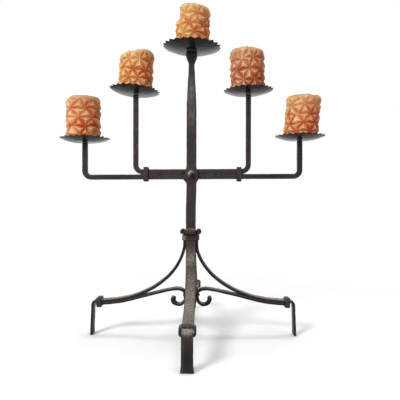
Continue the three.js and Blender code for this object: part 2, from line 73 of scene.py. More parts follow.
def make_camera():
    data = bpy.data.cameras.new("camera")
    data.sensor_width = SENSOR_WIDTH
    data.lens = CAMERA_FOCAL / PHOTO_WIDTH * SENSOR_WIDTH
    data.clip_end = 60
    camera = new_object("camera", data)
    turn = spin(CAMERA_YAW, "Z") @ spin(90 + CAMERA_PITCH, "X") @ spin(CAMERA_ROLL, "Z")
    camera.matrix_world = shift(*CAMERA_AT) @ turn
    scene.camera = camera


make_camera()

# Sizes in mm. Those of the iron, the pans and the seats are the CAD source's.
POST = 19.0
POST_BOTTOM = 60
POST_BOW, BOW_RISES, BOW_FALLS = 1.1, (110, 185), (290, 235)
BAR = 9.5
STRAP_WIDTH = 19.0
STRAP = 4.8
GAP = 0.3
ARM_BOTTOM = 301.0
INNER_ARM_BOTTOM = ARM_BOTTOM + BAR + GAP
ARMS_TOP = INNER_ARM_BOTTOM + BAR
ARMS_MIDDLE = (ARM_BOTTOM + ARMS_TOP) / 2
OUTER_BEND, INNER_BEND = 12, 13.5
ARM_SLOPE = 0.0055  # how much the bars rise towards the right

COLLAR_WIDTH = 9.5
COLLAR_STOCK = 4.2
COLLAR_GAP = 0.35
ARM_COLLARS = {"left": -88.0, "right": 92.0}
ARM_COLLAR_CORNER = 0.7
POST_COLLAR_STOCK = 1.6
POST_COLLAR_CORNER = 5.5
POST_COLLAR_HEIGHT = 188.4
FOOT_COLLAR_CORNER = 1.0
FOOT_COLLAR_FROM_KNEE = 12.2

# A rivet is its shank's radius, its heads' radius and rise, and half the depth between them
LEG_LINE = POST / 2 + GAP + STRAP / 2
CROSS_RIVET = (3.4, 7.4, 4.6, 13.1)
BRACE_RIVET = (2.0, 3.3, 1.8, LEG_LINE + STRAP / 2 + 0.5)
BRACE_RIVET_HEIGHT = {"side": 76.8, "front": 72.2}

# leaves is how far below the post collar a leg leaves the post, lean how far its foot leans sideways, roll its
# top curl's radius, low how far that curl is lowered, and tip how thick its brace's scroll ends
LEGS = {
    "front": Spec(heading=270, reach=195.0, knee=62.4, leaves=13, lean=0, roll=4.5, low=1.2, tip=8.4),
    "back": Spec(heading=89.3, reach=191.0, knee=66.0, leaves=13, lean=11, roll=3.4, low=0, tip=8.4),
    "left": Spec(heading=180, reach=190.4, knee=64.8, leaves=10, lean=0, roll=3.4, low=0, tip=11.2),
    "right": Spec(heading=0, reach=197.3, knee=65.0, leaves=17, lean=0, roll=3.4, low=0, tip=9.4),
}
LEG_EXTRA = 1.0  # how much thicker a leg is where it swings free
KNEE_RADIUS, KNEE_RUN, KNEE_FALL = 7.0, 19.0, 1.0
TOE_WIDTH, TOE_LENGTH, FOOT_SPLAY = 21.7, 12, 2
SWEEP_TOP_HANDLE, SWEEP_KNEE_HANDLE, SWEEP_KNEE_RISE = 28, 125, 4.6
CURL_STAND_OFF, CURL_ABOVE_COLLAR = 2.5, 8.0
CURL_START_RADIUS, CURL_START, CURL_ROLLED, CURL_END = 0.2, -540, -80, 180
SCROLL_RADIUS, SCROLL_HEIGHT, SCROLL_RISE = 11.8, 70.3, 18
SCROLL_TIP, SCROLL_TAPER = 8.4, 22
BRACE_TOP, HUMP_REACH, HUMP_HEIGHT, HUMP_HANDLE = 79, 28, 89, 0.7
PARTING_REACH, MEET_HANDLE = 118, 0.45

SHEET = 1.8
PAN_FLAT = 12.0
PAN_HOLE = 2.7
TOOTH_DEPTH = 4.6
TOOTH_STEPS = 14
SMALL = Spec(radius=49.0, depth=9.0, teeth=23)
LARGE = Spec(radius=57.4, depth=11.0, teeth=24)
PRICKET_SEAT = GAP + SHEET + GAP
FLANGE_TOP = PRICKET_SEAT + 1.4
TENON_RADIUS, TENON_LENGTH, FLANGE_RADIUS, SPIKE_LENGTH = 2.4, 12, 5.6, 24.5

CANDLE_RADIUS = 35.0
CARVING = 4.5
SEAT_CARVING = 2.6
COLUMNS, WALL_STEPS = 312, 128
CREST_RADIUS, POOL_RADIUS, POOL_DEPTH = 27, 13, 9
CHIP_HEADING, CHIP_WIDTH, CHIP_FROM, CHIP_TO = 180, 50, 50, 56
WICK_RADIUS, WICK_LENGTH, WICK_HOLD, WICK_SIDES = 0.88, 13.6, 8, 18
SPILL_RADIUS, SPILL_HEIGHT, SPILL_HEADING, SPILL_OUTWARD = 6.2, 6.6, 184, 4


def make_light(x, seat, tilt, nod=0, **own):
    """A pan and its candle, on a bar's end at x and the height seat, where the matrix stand takes them.

    tilt and lean turn the pan and the candle in it to the right, and nod lifts the pan's front. pan_side and
    side shift them to the right. The melted top drops by drop towards the angle low. star is the heading from
    the front and the height of a place where grooves cross, pitch the height of a row of pyramids and columns
    their number round. rim lists the rim's bumps as heading, height and width in degrees. pale and deep list,
    like star, where a highlight and a shade are painted on the wax. gold and red tint it, and chip is how much
    is broken off.
    """
    usual = dict(pan=SMALL, pan_side=0, drop=2, low=0, gold=0, red=0, chip=0, rim=(), pale=())
    stand = shift(x, 0, seat) @ spin(tilt, "Y") @ spin(-nod, "X")
    return Spec(x=x, seat=seat, tilt=tilt, stand=stand, **{**usual, **own})


LIGHTS = {
    "outer_left": make_light(
        -207.1, 371, 0.3, side=-3.4, height=83, lean=-0.3, drop=1, low=180, star=(-2, 39.4), pitch=17.5,
        columns=7, rim=[(-95, -3.5, 45)], deep=[(24, 62), (62, 40), (58, 24), (14, 26), (-20, 50)]),
    "inner_left": make_light(
        -108.1, 463.8, 4.6, nod=2.5, pan_side=-2.6, side=-2.4, height=81, lean=-1.6, drop=13, low=180,
        star=(19.6, 56), pitch=18, columns=9, gold=0.6, rim=[(30, 1.5, 20), (-5, -1.5, 12)], pale=[(19.6, 56)],
        deep=[(1, 38), (-23, 28), (34, 36), (55, 44), (48, 22)]),
    "centre": make_light(
        0, 546, 1.9, pan=LARGE, side=0.8, height=81.5, lean=-0.4, star=(-10, 41), pitch=18, columns=8, chip=8,
        gold=1.0, deep=[(-10, 41), (42, 42), (52, 30), (30, 20), (14, 30)]),
    "inner_right": make_light(
        109.9, 463.8, -1.5, pan_side=0.4, side=-1, height=81.5, lean=0.2, star=(-19, 17.6), pitch=19.9,
        columns=9, red=1.0, rim=[(95, -4, 40)], pale=[(-19, 57.4), (-19, 17.6), (1, 37.5), (28, 39)],
        deep=[(21, 49), (21, 27), (40, 58), (46, 20), (-32, 36)]),
    "outer_right": make_light(
        208.9, 375.5, -0.3, pan_side=0.6, side=1.4, height=81, lean=5.1, star=(-4, 25.5), pitch=17, columns=8,
        pale=[(-28, 60), (-30, 30)], deep=[(16, 46), (18, 22), (50, 40), (56, 26)]),
}


# Mesh helpers. Their points are in mm.
def add_layers(mesh, layers):
    for key, values in layers.items():
        layer = mesh.attributes.new(key, "FLOAT", "POINT")
        layer.data.foreach_set("value", np.asarray(values, np.float32))


def mesh_piece(name, points, faces, shade=None, layers=None):
    """A mesh piece. Edges sharper than the angle shade, in degrees, stay sharp."""
    mesh = bpy.data.meshes.new(name)
    mesh.from_pydata((points * MM).tolist(), [], faces)
    add_layers(mesh, layers or {})
    mesh.validate()
    shell = bmesh.new()
    shell.from_mesh(mesh)
    bmesh.ops.recalc_face_normals(shell, faces=shell.faces)
    shell.to_mesh(mesh)
    shell.free()
    mesh.shade_smooth()
    if shade is not None:
        mesh.set_sharp_from_angle(angle=math.radians(shade))
    return new_object(name, mesh)


def ring_faces(rings, count, joined=False):
    """Quads between rings of count points. joined closes the last ring with the first."""
    faces = []
    for r in range(rings if joined else rings - 1):
        near, far = r * count, ((r + 1) % rings) * count
        for i in range(count):
            j = (i + 1) % count
            faces.append((near + i, near + j, far + j, far + i))
    return faces


def moved(points, matrix):
    return points @ np.array(matrix.to_3x3()).T + np.array(matrix.translation)


def unit(v):
    return v / np.linalg.norm(v, axis=-1, keepdims=True)


def angles(count):
    return TAU * np.arange(count) / count


def run_along(line):
    """How far along a line each of its points lies."""
    return np.concatenate([[0], np.cumsum(np.linalg.norm(np.diff(line, axis=0), axis=1))])


def ease(values, low, high):
    share = np.clip((values - low) / (high - low), 0, 1)
    return share * share * (3 - 2 * share)


def waves(points, scale, seed, octaves=2):
    """Smooth noise from -1 to 1 through space."""
    source = np.random.default_rng(seed)
    total = np.zeros(len(points))
    shares = 0.5 ** np.arange(octaves)
    for share in np.repeat(shares, WAVES):
        direction = unit(source.normal(size=3))
        wave = np.sin(points @ direction * TAU / (scale * share) + source.uniform(0, TAU))
        total += share * wave / WAVES * 1.6
    return np.clip(total / shares.sum(), -1, 1)


def hammer(points, normals, spacing, radius, depth, seed):
    """How deep shallow, scattered hammer dents go at each point."""
    source = np.random.default_rng(seed)
    longest = (points.max(0) - points.min(0)).max()
    count = int(min(420, max(12, longest * 2.5 / spacing)))
    dents = np.zeros(len(points))
    for k in source.choice(len(points), size=min(count, len(points)), replace=False):
        reach = radius * source.uniform(0.6, 1.4)
        deep = depth * source.uniform(0.3, 1.0)
        gap = ((points - points[k]) ** 2).sum(1)
        inside = (gap < reach * reach) & (normals @ normals[k] > 0.35)
        dents[inside] = np.maximum(dents[inside], deep * (1 - gap[inside] / reach**2) ** 1.5)
    return dents


def outline(along_a, along_b, corner_steps=4):
    """A rounded rectangle's section: centre signs, normals and how near a corner each point is."""
    signs, normals, edges = [], [], []
    corners = np.array([(1, 1), (-1, 1), (-1, -1), (1, -1), (1, 1)])
    for k, steps in enumerate((along_a, along_b, along_a, along_b)):
        for i in range(corner_steps + 1):
            angle = math.radians(90 * (k + i / corner_steps))
            signs.append(corners[k])
            normals.append((math.cos(angle), math.sin(angle)))
            edges.append(1.0)
        for i in range(1, steps):
            share = i / steps
            signs.append(corners[k] + (corners[k + 1] - corners[k]) * share)
            normals.append(normals[-1])
            edges.append(max(0.0, 0.55 - 0.45 * min(share, 1 - share) * steps))
    return np.array(signs), np.array(normals), np.array(edges)


def sweep(name, frames, half_a, half_b, corner, seed, steps, dents, spacing=1.4, wander=0.12):
    """A forged bar: rounded sections along a line, with uneven edges and hammered faces.

    frames are the line's points and the section's two axes there. half_a and half_b are its half widths, steps
    its points along each side, and dents the depth and reach of the dents.
    """
    centre, across, width = frames
    dent_depth, dent_reach = dents
    signs, flat_normals, edge = outline(*steps)
    count, n = len(signs), len(centre)
    half = np.empty((n, 2))
    half[:, 0], half[:, 1] = half_a, half_b
    corner = corner * np.ones(n)
    source = np.random.default_rng(seed)
    length = run_along(centre)
    for wave in range(3):
        corner *= 1 + 0.22 * np.sin(length * TAU / (9 + 13 * wave) + source.uniform(0, TAU))
    corner = np.minimum(corner, half.min(1) * 0.95)
    to_end = np.minimum(length, length[-1] - length)
    half -= (np.clip(1 - to_end / 1.3, 0, 1) ** 2 * 1.1)[:, None]
    places = signs * (half - corner[:, None])[:, None] + corner[:, None, None] * flat_normals
    points = centre[:, None] + across[:, None] * places[..., :1] + width[:, None] * places[..., 1:]
    normals = across[:, None] * flat_normals[:, :1] + width[:, None] * flat_normals[:, 1:]
    points, normals = points.reshape(-1, 3), normals.reshape(-1, 3)
    depth = hammer(points, normals, spacing * 4, dent_reach, dent_depth, seed + 1)
    depth += wander * (0.5 + 0.5 * waves(points, 17, seed + 2))
    points = points - normals * depth[:, None]
    faces = ring_faces(n, count)
    first_cap, last_cap, last_ring = n * count, n * count + 1, (n - 1) * count
    for i in range(count):
        j = (i + 1) % count
        faces += [(first_cap, j, i), (last_cap, last_ring + i, last_ring + j)]
    end_zone = 0.8 * np.clip(1 - to_end / 1.6, 0, 1)
    edges = np.maximum(np.tile(edge, n), np.repeat(end_zone, count))
    points = np.vstack([points, points[:count].mean(0), points[-count:].mean(0)])
    return mesh_piece(name, points, faces, 50, {"edge": np.append(edges, [0.2, 0.2])})


class Line:
    """A flat line drawn with straights, arcs and Bezier curves, then read back at even steps."""

    def __init__(self):
        self.points = []

    def to(self, point):
        self.points.append(np.array(point, float))
        return self

    def arc(self, centre, radius, start, end, steps=48, first_radius=None):
        """An arc, or a spiral from another first radius."""
        radii = np.linspace(radius if first_radius is None else first_radius, radius, steps + 1)
        for reach, angle in zip(radii, np.radians(np.linspace(start, end, steps + 1))):
            self.to(centre + reach * np.array([math.cos(angle), math.sin(angle)]))
        return self

    def bezier(self, *ends):
        a, b, c, d = self.points[-1], *np.array(ends)
        for i in range(1, BEZIER_STEPS + 1):
            t = i / BEZIER_STEPS
            u = 1 - t
            self.to(u**3 * a + 3 * u * u * t * b + 3 * u * t * t * c + t**3 * d)
        return self

    def bend(self, corner, radius, ahead):
        """Goes straight to a rounded corner and round it, towards the point ahead."""
        came, goes = unit(corner - self.points[-1]), unit(np.subtract(ahead, corner))
        turn = math.atan2(came[0] * goes[1] - came[1] * goes[0], came @ goes)
        inward = np.array([-came[1], came[0]]) * np.sign(turn)
        centre = corner - came * radius * abs(math.tan(turn / 2)) + inward * radius
        angle = math.degrees(math.atan2(-inward[1], -inward[0]))
        return self.arc(centre, radius, angle, angle + math.degrees(turn), 16)

    def even(self, step, ends=True):
        """Points, left normals and distances along the line at even steps, closer together at its ends."""
        line = np.array(self.points)
        line = line[np.append(True, np.linalg.norm(np.diff(line, axis=0), axis=1) > 1e-6)]
        run = run_along(line)

        def read(places):
            return np.stack([np.interp(places, run, line[:, k]) for k in (0, 1)], 1)

        places = np.linspace(0, run[-1], max(2, int(run[-1] / step)) + 1)
        if ends:
            near = np.array([0, 0.15, 0.4, 0.75, 1.2])
            inner = places[(places > 1.6) & (places < run[-1] - 1.6)]
            places = np.concatenate([near, inner, run[-1] - near[::-1]])
        small = min(0.6, run[-1] / 4)
        tangent = unit(read(np.minimum(places + small, run[-1])) - read(np.maximum(places - small, 0)))
        return read(places), np.stack([-tangent[:, 1], tangent[:, 0]], 1), places


def lift(points, normals, heading=0.0):
    """Takes flat (outward, up) points and normals to the upright plane along a heading."""
    c, s = math.cos(math.radians(heading)), math.sin(math.radians(heading))
    axes = np.array([[c, s, 0], [0, 0, 1]])
    return points @ axes, normals @ axes, np.tile([-s, c, 0.0], (len(points), 1))


def cut_box(piece, low, high):
    """Cuts a box out of a piece."""
    points = np.array(list(itertools.product(*zip(low, high))))
    faces = [(0, 1, 3, 2), (4, 6, 7, 5), (0, 4, 5, 1), (2, 3, 7, 6), (0, 2, 6, 4), (1, 5, 7, 3)]
    tool = mesh_piece("tool", points, faces)
    modifier = piece.modifiers.new("cut", "BOOLEAN")
    modifier.operation = "DIFFERENCE"
    modifier.solver = "EXACT"
    modifier.object = tool
    with bpy.context.temp_override(object=piece, active_object=piece, selected_objects=[piece]):
        bpy.ops.object.modifier_apply(modifier=modifier.name)
    bpy.data.objects.remove(tool)
    piece.data.set_sharp_from_angle(angle=math.radians(50))


def lathe(profile, sides):
    """Points and faces of a profile of (radius, height) turned about Z."""
    points = [(r * math.cos(a), r * math.sin(a), height) for r, height in profile for a in angles(sides)]
    return np.array(points), ring_faces(len(profile), sides)


# Materials
MIX_INPUTS, MIX_RESULT = (0, 6, 7), 2  # the Mix node's sockets for a factor and two colours, and its result


def settle(node, **settings):
    """Sets a node's own settings and, with _ for a space in their names, its inputs."""
    for key, value in settings.items():
        if hasattr(node, key):
            setattr(node, key, value)
        else:
            node.inputs[key.replace("_", " ")].default_value = value
    return node


def add(tree, kind, **settings):
    return settle(tree.nodes.new(kind), **settings)


def feed(value, node, socket):
    """Gives a node's input a signal, a number or a colour."""
    if isinstance(value, Signal):
        node.id_data.links.new(value.node.outputs[value.out], node.inputs[socket])
    elif isinstance(value, (int, float)):
        node.inputs[socket].default_value = value
    else:
        node.inputs[socket].default_value = (*value, 1)


class Signal:
    """What a node gives out. Sums and products of signals are nodes too."""

    def __init__(self, node, out=0):
        self.node, self.out = node, out

    def combine(self, operation, other):
        node = add(self.node.id_data, "ShaderNodeMath", operation=operation)
        feed(self, node, 0)
        feed(other, node, 1)
        return Signal(node)

    def __add__(self, other):
        return self.combine("ADD", other)

    def __mul__(self, other):
        return self.combine("MULTIPLY", other)

    def most(self, other):
        return self.combine("MAXIMUM", other)

    def spread(self, low, high, to_low=0.0, to_high=1.0):
        node = add(self.node.id_data, "ShaderNodeMapRange", From_Min=low, From_Max=high, To_Min=to_low,
                   To_Max=to_high)
        feed(self, node, "Value")
        return Signal(node)


class Look:
    """A material in the making."""

    def __init__(self, name):
        self.made = bpy.data.materials.new(name)
        self.made.use_nodes = True
        self.tree = self.made.node_tree
        self.shader = self.tree.nodes["Principled BSDF"]
        self.place = Signal(add(self.tree, "ShaderNodeTexCoord"), "Object")

    def noise(self, scale, detail=4, roughness=0.55, stretch=(1, 1, 1)):
        mapping = add(self.tree, "ShaderNodeMapping", Scale=stretch)
        feed(self.place, mapping, "Vector")
        node = add(self.tree, "ShaderNodeTexNoise", Scale=scale, Detail=detail, Roughness=roughness)
        feed(Signal(mapping, "Vector"), node, "Vector")
        return Signal(node, "Fac")

    def ramp(self, source, stops):
        node = add(self.tree, "ShaderNodeValToRGB")
        elements = node.color_ramp.elements
        for element, (position, colour) in ((elements[0], stops[0]), (elements[1], stops[-1])):
            element.position, element.color = position, (*colour, 1)
        for position, colour in stops[1:-1]:
            elements.new(position).color = (*colour, 1)
        feed(source, node, "Fac")
        return Signal(node, "Color")

    def join(self, factor, first, second, kind="MIX"):
        """Mixes two colours."""
        node = add(self.tree, "ShaderNodeMix", data_type="RGBA", blend_type=kind)
        for socket, value in zip(MIX_INPUTS, (factor, first, second)):
            feed(value, node, socket)
        return Signal(node, MIX_RESULT)

    def layer(self, name):
        return Signal(add(self.tree, "ShaderNodeAttribute", attribute_name=name), "Fac")

    def finish(self, colour, roughness, bump, strength, distance):
        feed(colour, self.shader, "Base Color")
        feed(roughness, self.shader, "Roughness")
        node = add(self.tree, "ShaderNodeBump", Strength=strength, Distance=distance)
        feed(bump, node, "Height")
        feed(Signal(node, "Normal"), self.shader, "Normal")
        return self.made


def iron_material(name, base, tint, wear_and_highlight, wear=0.2, roughness=0.5, specular=0.2):
    """Dark forged iron with warm and greenish patches and scratches, paler where it is rubbed and where a
    highlight is painted, and darker where shade is painted at its edges and at listed spots.
    """
    look = Look(name)
    fine = look.noise(260, 5, 0.65)
    olive = np.multiply(base, (0.95, 1.35, 1.05))
    stops = [(0.32, olive), (0.46, base), (0.56, tint), (0.7, np.multiply(base, 0.8))]
    patches = look.ramp(look.noise(30, 3), stops)
    skin = look.join(fine.spread(0.4, 0.75) * 0.5, patches, np.multiply(tint, 1.9))
    edge = look.layer("edge")
    broken = look.noise(120, 4, 0.6).spread(0.36, 0.62)
    scratches = look.noise(160, 4, 0.6, (2.4, 2.4, 0.6)).spread(0.42, 0.62, 0.3, 1.0)
    # Paler metal: wear along the edges, and the listed wear and painted highlights
    wear_and_highlight_mask = (edge * broken * wear).most(look.layer("wear_and_highlight") * scratches)
    # Painted shade at the edges and at the listed spots, towards a quarter of the base colour
    painted_shade_mask = look.layer("painted_shade").most(edge * (0.55 - 0.5 * wear))
    colour = look.join(painted_shade_mask, look.join(wear_and_highlight_mask, skin, wear_and_highlight), np.multiply(base, 0.25))
    rough = fine.spread(0.3, 0.75, roughness - 0.1, roughness + 0.14)
    settle(look.shader, Specular_IOR_Level=specular)
    return look.finish(colour, rough, fine + look.noise(900, 3, 0.7) * 0.4, 0.35, 0.0004)


def sheet_material():
    """Nearly black sheet, with a painted sheen that makes it paler towards the back of its underside."""
    look = Look("sheet_iron")
    body = look.ramp(look.noise(22, 3), [(0.3, (0.003, 0.004, 0.006)), (0.46, (0.005, 0.006, 0.008)),
                                         (0.56, (0.004, 0.007, 0.007)), (0.7, (0.008, 0.005, 0.007))])
    rim = look.layer("edge").spread(0.2, 0.9)
    cloud = look.noise(34, 3)
    # Painted sheen, broken up by the cloud noise
    painted_sheen_mask = look.layer("painted_sheen") * cloud.spread(0.35, 0.65, 0.45, 1.0)
    colour = look.join(painted_sheen_mask, look.join(rim, body, (0.005, 0.005, 0.005)), (0.25, 0.27, 0.275))
    settle(look.shader, Specular_IOR_Level=0.13)
    return look.finish(colour, cloud.spread(0.35, 0.65, 0.16, 0.34) + rim * 0.3, look.noise(300, 4, 0.6), 0.18,
                       0.0003)


def wax_material(name, stops, melted, painted_shade_colour, painted_shade_strength):
    """Wax coloured by how deep it is carved, with painted shade in the grooves and painted highlights on the
    peaks, painted shade towards its right side, and paler where it melted or stands high.
    """
    look = Look(name)
    cloud = look.noise(60, 3)
    fine = look.noise(420, 3, 0.6)
    level = look.layer("relief") + cloud.spread(0.3, 0.7, -0.13, 0.13) + look.layer("tone") * 0.13
    gold = look.layer("gold")
    colour = look.join(gold, look.ramp(level, stops), (1.0, 1.14, 0.92), "MULTIPLY")
    colour = look.join(gold * 0.2, colour, (0.78, 0.45, 0.15))
    red = look.layer("red") * level.spread(0.85, 0.45, 0.3, 1.0)
    colour = look.join(red, colour, (0.72, 0.52, 0.6), "MULTIPLY")
    colour = look.join(look.layer("high").spread(0.0, 1.0, 0.0, 0.42), colour, melted)
    # Painted shade, darker and redder towards the right side
    side = look.layer("side") + cloud.spread(0.3, 0.7, -0.25, 0.25)
    colour = look.join(side.spread(-0.8, 0.9, 0.0, painted_shade_strength), colour, painted_shade_colour, "MULTIPLY")
    colour = look.join(look.layer("melt").spread(0.1, 1.0, 0.0, 0.85), colour, melted)
    colour = look.join(look.layer("rim") * 0.75, colour, (0.22, 0.19, 0.11))
    settle(look.shader, Subsurface_Weight=0.3, Subsurface_Radius=(1.0, 0.42, 0.2), Subsurface_Scale=0.0025,
           Specular_IOR_Level=0.3)
    return look.finish(colour, fine.spread(0.3, 0.75, 0.4, 0.58), fine, 0.2, 0.0004)


def wick_material():
    look = Look("burnt_wick")
    fibre = look.noise(1400, 4, 0.7, (1, 1, 0.3))
    yarn = look.ramp(fibre, [(0.3, (0.36, 0.28, 0.18)), (0.7, (0.60, 0.50, 0.36))])
    char = look.ramp(fibre, [(0.3, (0.008, 0.007, 0.006)), (0.7, (0.035, 0.028, 0.024))])
    return look.finish(look.join(look.layer("burnt"), yarn, char), 0.92, fibre, 0.6, 0.0003)


# Colours of the wax, from the grooves to the peaks: darkest where shade is painted in the grooves, palest
# where a highlight is painted on the peaks
CARVED = [(0.0, (0.48, 0.075, 0.020)), (0.2, (0.62, 0.19, 0.055)), (0.45, (0.70, 0.36, 0.145)),
          (0.75, (0.77, 0.54, 0.29)), (1.0, (0.85, 0.70, 0.47))]
PALE = [(0.0, (0.70, 0.50, 0.42)), (1.0, (0.84, 0.68, 0.60))]

# Looks: materials with their slots in the record
IRON = (iron_material("forged_iron", (0.018, 0.0135, 0.0125), (0.031, 0.019, 0.017), (0.27, 0.235, 0.203)),
        "forged_iron")
RIVET = (iron_material("rivet_iron", (0.024, 0.019, 0.017), (0.040, 0.032, 0.029), (0.8, 0.75, 0.68), wear=0.4,
                       roughness=0.36, specular=0.16), "rivet_iron")
PAN = (sheet_material(), "sheet_iron")
WICK = (wick_material(), "wick_cotton")
WAX = (wax_material("carved_wax", CARVED, (0.68, 0.50, 0.24), (0.72, 0.42, 0.28), 1.0), "candle_wax")
SPILL = (wax_material("spilled_wax", PALE, (0.82, 0.66, 0.57), (0.8, 0.7, 0.7), 0.2), "spilled_wax")

# Places painted paler: wear on the post and the front strap, and painted highlights on the left strap's front
# edge, the front curl's top, the front knee, the front foot collar's corners, the front foot's left edge, the
# scrolls and the cross rivet's upper left: x, y and z, the reach along each, and how strongly
WEAR_AND_HIGHLIGHT_SPOTS = [
    (0, -9.5, 470, 12, 12, 26, 0.5), (0, -9.5, 425, 12, 12, 20, 0.35), (-2, -15, 141, 14, 12, 20, 1.3),
    (-11, -14, 138, 4, 12, 20, 1.6), (-13.5, -14, 190, 3, 12, 10, 1.5), (-12, -10, 200, 2, 12, 7, 1.5),
    (0, -18, 206, 12, 8, 2.2, 1), (0, -197, 64, 10, 10, 6, 2.2), (-13, -183, 68, 4, 8, 5, 1.6),
    (13, -183, 68, 4, 8, 5, 1.4), (-8, -198, 24, 4, 8, 30, 0.5), (-22, 0, 60, 10, 12, 3, 0.5),
    (24, 0, 60, 10, 12, 3, 0.5), (-4.8, -16, 312.5, 2.4, 6, 2.8, 1), (-0.6, -16, 316, 2.4, 6, 2.4, 1),
    (0, -195, 90, 16, 30, 20, 0.3),
]

# Places where shade is painted, listed the same way: under the pans, the front curl and the cross rivet, at
# the neck below the centre pan, beside the post, along the lower bars and legs, and on the lower feet
SHADE_SPOTS = [
    (0, -5, 534, 16, 12, 24, 1), (0, -3, 508, 14, 9, 16, 0.6), (0, -198, 22, 16, 12, 32, 1),
    (0, -160, 60, 16, 40, 12, 0.4), (-190, 0, 20, 12, 16, 40, 0.9), (198, 0, 20, 12, 16, 40, 0.9),
    (2, -18, 190, 14, 8, 6, 0.7), (12, 0, 198, 8, 20, 16, 0.6), (-150, 0, 304, 50, 20, 12, 0.65),
    (150, 0, 304, 50, 20, 12, 0.75), (209, 0, 345, 20, 20, 45, 0.85), (110, 0, 400, 12, 20, 70, 0.5),
    (-207, 0, 345, 20, 20, 40, 0.45), (4, -18, 306, 8, 8, 7, 1.5), (18, 0, 205, 6, 14, 6, 1),
    (-18, 0, 205, 6, 14, 6, 1),
]


def spots(points, table):
    """How strongly the spots of a table mark each point."""
    total = np.zeros(len(points))
    for row in table:
        gap = (points - row[:3]) / row[3:6]
        total = np.maximum(total, row[6] * np.exp(-(gap**2).sum(1)))
    return total


def vectors(items, key):
    values = np.empty(len(items) * 3)
    items.foreach_get(key, values)
    return values.reshape(-1, 3)


def finish(piece, node, look, body="stand", bowed=False, strap=None):
    """Gives a piece its look's material and its body, and hides the part of model.glb that it stands for.
    bowed pieces follow the post's bow to the left.

    strap is the heading of a leg or brace, whose sides and lower faces get painted shade, and whose low upward
    faces a painted highlight.
    """
    mesh = piece.data
    material, slot = look
    points = vectors(mesh.vertices, "co") / MM
    if bowed:
        points[:, 0] -= POST_BOW * ease(points[:, 2], *BOW_RISES) * ease(points[:, 2], *BOW_FALLS)
        mesh.vertices.foreach_set("co", (points * MM).ravel())
        mesh.update()
    wear_and_highlight, painted_shade = spots(points, WEAR_AND_HIGHLIGHT_SPOTS), spots(points, SHADE_SPOTS)
    # Listed wear and painted highlights, and listed painted shade; straps add shade and highlight by the way
    # their faces point
    if strap is not None:
        normals = vectors(mesh.vertex_normals, "vector")
        sideways = np.abs(normals @ np.array(spin(strap, "Z").col[1].to_3d()))
        downward = np.clip(-normals[:, 2] - 0.1, 0, 1)
        upward = np.clip(normals[:, 2] - 0.42, 0, 1) * ease(points[:, 2], 180, 120)
        painted_shade = np.maximum(painted_shade, np.maximum(0.85 * sideways**2, 0.9 * downward))
        wear_and_highlight = np.maximum(wear_and_highlight, 1.9 * upward)
    add_layers(mesh, {"wear_and_highlight": wear_and_highlight, "painted_shade": painted_shade})
    mesh.materials.clear()
    mesh.materials.append(material)
    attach(piece, body)
    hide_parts(node)


def build(node, suffix, points, matrix, faces, shade, layers, look, body="stand"):
    finish(mesh_piece(f"{node}_{suffix}", moved(points, matrix), faces, shade, layers), node, look, body)


# Post, with its swollen eye, drawn neck and spread top
def make_post():
    top = LIGHTS["centre"].seat
    half = POST / 2
    # Heights, and half the post's width and depth there
    table = np.array([
        (POST_BOTTOM, half, half), (ARM_BOTTOM - 9, half, half), (ARM_BOTTOM - 4, half + 2.2, half + 1.2),
        (ARM_BOTTOM, 15.6, 12.8), (ARM_BOTTOM + 4, 13.4, 12.8), (ARMS_MIDDLE, 12.0, 12.8),
        (ARMS_TOP, 10.6, 12.8), (ARMS_TOP + 3.5, half + 0.2, half + 1.3), (ARMS_TOP + 8, half, half),
        (440, half, half), (469, 8.3, 8.5), (499, 6.7, 7.2), (520, 5.6, 6.4), (525, 5.7, 6.5),
        (532, 8.4, 8.2), (538, 10.8, 10.2), (543, 10.6, 10.2), (top, 9.8, 9.5)])
    heights = np.concatenate([POST_BOTTOM + np.array([0, 0.2, 0.6, 1.2]), np.arange(62, top - 1.4, 1.3),
                              top - np.array([0.8, 0.3, 0])])
    half_x, half_y = (np.interp(heights, table[:, 0], table[:, k]) for k in (1, 2))
    kernel = np.array([1, 2, 3, 2, 1]) / 9.0
    for values in (half_x, half_y):
        values[2:-2] = np.minimum(values[2:-2], np.convolve(values, kernel, "valid") + 0.15)
    aside = -1.3 * np.exp(-(((heights - ARM_BOTTOM) / 6) ** 2))
    frames = lift(np.stack([aside, heights], 1), np.tile([1.0, 0.0], (len(heights), 1)))
    corner = np.interp(heights, [60, 441, 500, 530, 547], [1.3, 1.3, 2.2, 1.6, 1.2])
    post = sweep("post_forged", frames, half_x, half_y, corner, 11, (8, 8), (0.3, 6.5), 1.5, 0.06)
    cut_box(post, (-40, -BAR / 2 - GAP, ARM_BOTTOM - GAP), (40, BAR / 2 + GAP, ARMS_TOP + GAP))
    finish(post, "post", IRON, bowed=True)


def make_arm(level, bottom, bend, seed):
    left, right = LIGHTS[f"{level}_left"], LIGHTS[f"{level}_right"]
    middle = bottom + BAR / 2
    line = Line().to((left.x, left.seat)).bend((left.x, middle), bend, (right.x, middle))
    line.bend((right.x, middle), bend, (right.x, right.seat)).to((right.x, right.seat))
    points, normals, run = line.even(1.4)
    place, across, width = lift(points, normals)
    flat = 1 - ease(place[:, 2], middle + 8, middle + 50)
    place[:, 2] += flat * place[:, 0] * ARM_SLOPE
    for end, light in ((0, left), (-1, right)):
        near = np.abs(run - run[end]) < 1.4
        place[near, 2] -= abs(math.tan(math.radians(light.tilt))) * 2.4
    half = BAR / 2 + 0.1
    arm = sweep(f"{level}_arm_forged", (place, across, width), half, half, 1.15, seed, (5, 5), (0.2, 4.5), 1.3,
                0.04)
    finish(arm, f"{level}_arm", IRON)


